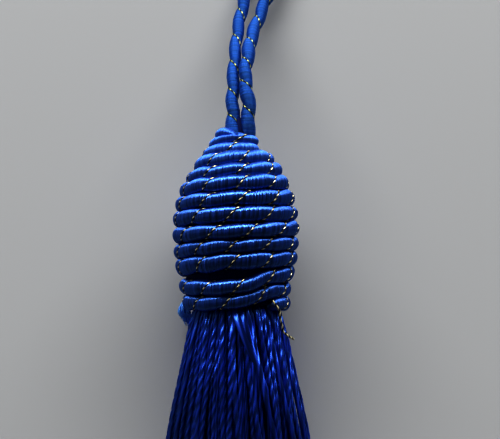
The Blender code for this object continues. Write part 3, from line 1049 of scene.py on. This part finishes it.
def crossing_band(number, row, start, sinks=False):
    """The rings of a strand that lies on the others and crosses them, and may then go under."""
    first, last, length, radius, pitch = row
    sway_seed, lift_seed, strand_number = (seed + number for seed in CROSSING_SEEDS)
    reach = SKIRT_SECTIONS[-1][0]
    past = np.linspace(CROSSING_START, reach, round(reach / STRAND_STEP * MM))
    u = first + (last - first) * np.clip(past / length, 0, 1)
    u += CROSSING_SWAY * waves(past, CROSSING_SWAY_LENGTH, sway_seed)
    v = np.sqrt(1 - u * u) * CROSSING_RIM
    line = strand_line(u, v, past)
    lift = CROSSING_LIFT + LIFT_SPREAD * waves(past, LIFT_LENGTH, lift_seed)
    line[:, 2] += np.clip(past + 1, 0, 1) * lift * MM
    if sinks:
        under = np.clip((past - length) / length, 0, 1)
        line[:, 2] += (FLAT_LIFT - under * FLAT_SINKING) * MM
        radius = radius * (1 - FLAT_THINNING * np.clip(past / FLAT_THINNING_LENGTH, 0, 1))
    return twisted_band(line, radius * MM, pitch * MM, start, strand_number)


def swayed(line, past, number, lock):
    """A strand's line with its own sway and its lock's, which grow towards its tip."""
    loose = np.clip(past / LOOSE_FROM, 0, 1)
    loose = loose * (0.5 + 0.5 * np.clip(past / SKIRT_SECTIONS[-1][0], 0, 1))
    for axis, own, own_length, own_seed, shared, shared_length, shared_seed in SWAYS:
        sway = own * waves(past, own_length, own_seed + number)
        sway = sway + shared * waves(past, shared_length, shared_seed + lock)
        line[:, axis] += loose * sway * MM
    return over_floor(line, STRAND_RADIUS * LOWEST_MIDDLE)


def strand_bands():
    """The strands that show, as (how far across, band), and the bands of the plain ones."""
    chance = random.Random(SEED + 1)
    outer, inner = [], []
    start, reach = SKIRT_SECTIONS[0][0], SKIRT_SECTIONS[-1][0]
    for number, (u, v, lock, shows) in enumerate(strand_places()):
        tip = reach + chance.uniform(-TIP_SPREAD, TIP_SPREAD)
        step = (STRAND_STEP if shows else PLAIN_STEP) / MM
        past = np.linspace(start, tip, round((tip - start) / step))
        line = swayed(strand_line(u, v, past), past, number, lock)
        radius = STRAND_RADIUS * chance.uniform(THINNEST, THICKEST)
        if shows:
            pitch = TWIST_PITCH * chance.choice(TWIST_CHOICES)
            band = twisted_band(line, radius, pitch, chance.uniform(0, 2 * math.pi), number)
            outer.append((u, band))
        else:
            rings, lengths = tube_band(line, radius, PLAIN_SIDES, uv_start(number))
            inner.append((over_floor(rings), lengths))
    return outer, inner


def make_skirt(material, flat_material):
    outer, inner = strand_bands()
    for number, row in enumerate(CROSSING_STRANDS):
        outer.append((row[0], crossing_band(number, row, number * CROSSING_TWIST)))
    flat = [
        crossing_band(FIRST_FLAT + number, row, -math.pi / 2, sinks=True)
        for number, row in enumerate(FLAT_STRANDS)
    ]
    dress(skin("skirt_flat_strands", flat, flat_material), "skirt_strand")
    outer.sort(key=lambda item: item[0])
    third = math.ceil(len(outer) / 3)
    for k, side in enumerate(("left", "middle", "right")):
        bands = [band for _, band in outer[k * third:(k + 1) * third]]
        dress(skin(f"skirt_{side}", bands, material), "skirt_strand")
    dress(skin("skirt_inside", inner, material), "skirt_strand", "skirt")


# The loose ends


def make_tail(material):
    points = smooth_route([Vector(point) * MM for point in TAIL_ROUTE], TAIL_STEPS)
    piece = tube("binding_tail_thread", points, TAIL_RADIUS, THREAD_SIDES, material)
    dress(piece, "metallic_thread", "binding_tail")


def make_frayed(material):
    """Loose fibres in a few tufts, which fray out to the left."""
    chance = random.Random(SEED + 2)
    bands = []
    radii = np.linspace(FIBRE_ROOT, FIBRE_TIP, FIBRE_STEPS) * MM
    middle = [np.array(on_axis(h * MM, x * MM, z * MM)) for h, x, z, _ in FRAYED_SECTIONS]
    for number in range(FRAYED_TUFTS * FIBRES_IN_TUFT):
        if number % FIBRES_IN_TUFT == 0:
            tuft = chance.uniform(0, 2 * math.pi), chance.uniform(*TUFT_SHARES)
            stop = chance.choice(TUFT_STOPS)
        angle = tuft[0] + chance.uniform(-FIBRE_ANGLE, FIBRE_ANGLE)
        share = tuft[1] + chance.uniform(-FIBRE_SHARE, FIBRE_SHARE)
        points = []
        for place, (_, _, _, radius) in zip(middle, FRAYED_SECTIONS):
            angle += chance.uniform(-FIBRE_BEND, FIBRE_BEND)
            out = Vector((math.sin(angle), 0.25 * math.sin(angle * 2), math.cos(angle)))
            points.append(Vector(place) + out * radius * share * MM)
        if chance.random() < STRAY_SHARE:
            points[stop - 1] += Vector((-0.35, chance.uniform(-0.4, 0.3), 0.1)) * MM
        line = over_floor(smooth_route(points[:stop], FIBRE_STEPS), FIBRE_LOWEST)
        bands.append(tube_band(line, radii, FIBRE_SIDES, number * 7.0))
    dress(skin("frayed_fibres", bands, material), "frayed_fibre", "frayed_end")


# The stage


def make_camera():
    camera = bpy.data.cameras.new("camera")
    camera.sensor_width = SENSOR_WIDTH
    camera.lens = SENSOR_WIDTH * FOCAL_LENGTH / FRAME_WIDTH
    camera.clip_start = 1 * MM
    obj = bpy.data.objects.new("camera", camera)
    obj.location = CAMERA_PLACE
    obj.rotation_euler = (CAMERA_TILT, 0, 0)
    bpy.context.scene.collection.objects.link(obj)
    bpy.context.scene.camera = obj


def make_floor():
    bpy.ops.mesh.primitive_plane_add(size=FLOOR_SIZE, location=(0, 0, FLOOR_HEIGHT))
    floor = bpy.context.active_object
    floor.name = "floor"
    floor.data.materials.append(floor_material())


def add_light(name, azimuth, elevation, distance, size, power):
    """An area light aimed at the head. Azimuth 0 is past the loop, 90 is at the left."""
    light = bpy.data.lights.new(name, "AREA")
    light.energy = power
    light.shape = "RECTANGLE"
    light.size, light.size_y = size
    obj = bpy.data.objects.new(name, light)
    a, e = math.radians(azimuth), math.radians(elevation)
    way = Vector((-math.sin(a) * math.cos(e), math.cos(a) * math.cos(e), math.sin(e)))
    obj.location = LIGHT_AIM + way * distance
    obj.visible_camera = False
    obj.rotation_mode = "QUATERNION"
    obj.rotation_quaternion = way.to_track_quat("Z", "Y")
    bpy.context.scene.collection.objects.link(obj)


def make_lights():
    for light in LIGHTS:
        add_light(*light)
    world = bpy.data.worlds.new("world")
    bpy.context.scene.world = world
    world.use_nodes = True
    background = world.node_tree.nodes["Background"]
    background.inputs["Color"].default_value = WORLD_COLOUR
    background.inputs["Strength"].default_value = WORLD_STRENGTH
    view = bpy.context.scene.view_settings
    view.view_transform = "Standard"
    view.gamma = VIEW_GAMMA


def make_tassel():
    golds = colour(0.80, 0.66, 0.30), colour(1.0, 0.95, 0.60)
    # A darker, yellower copy of the golds for the loop's thread: painted shade against the key
    # light's whitish glint on it
    loop_shaded_golds = colour(0.52, 0.51, 0.11), colour(0.76, 0.80, 0.26)
    thread = thread_material("metallic_thread", share=0.36, metal=0.4, golds=golds)
    loop_thread = thread_material("loop_thread", share=0.36, metal=0.4, golds=loop_shaded_golds)
    head_cord = cord_material(
        "wrapped_cord",
        dark=colour(0.001, 0.003, 0.02),
        light=colour(0.009, 0.036, 0.29),
        # The top colour, for the head's crown, is painted light
        top=colour(0.060, 0.140, 0.40),
        refraction=2.9,
        tint=colour(0.15, 0.36, 0.92),
        tipping=0.5,
    )
    # The loop's own copy of the same rayon, darker and less reflective than the crown's: painted
    # shade, set for how the key light falls on it
    loop_shade = colour(0.004, 0.030, 0.16)
    loop_cord = cord_material(
        "loop_cord",
        dark=loop_shade,
        light=loop_shade,
        top=colour(0.010, 0.072, 0.37),
        refraction=2.0,
        tint=colour(0.18, 0.52, 1.0),
        tipping=1.1,
    )
    make_loop(loop_cord, loop_thread)
    make_head(head_cord, thread, core_and_shade_stub_material())
    make_skirt(
        strand_material("skirt_strand", fibres=14.0, shine=0.17, refraction=2.5, tipping=0.7),
        strand_material("flat_strand", fibres=24.0, shine=0.7, refraction=2.6, tipping=0.6),
    )
    # The loose end's copy of the thread has longer dashes and is nearly unmetallic, so that its
    # gold shows bright in the head's shadow: painted light
    make_tail(thread_material("loose_thread", share=0.5, metal=0.05, golds=golds))
    make_frayed(frayed_material())


make_camera()
make_floor()
make_lights()
make_tassel()
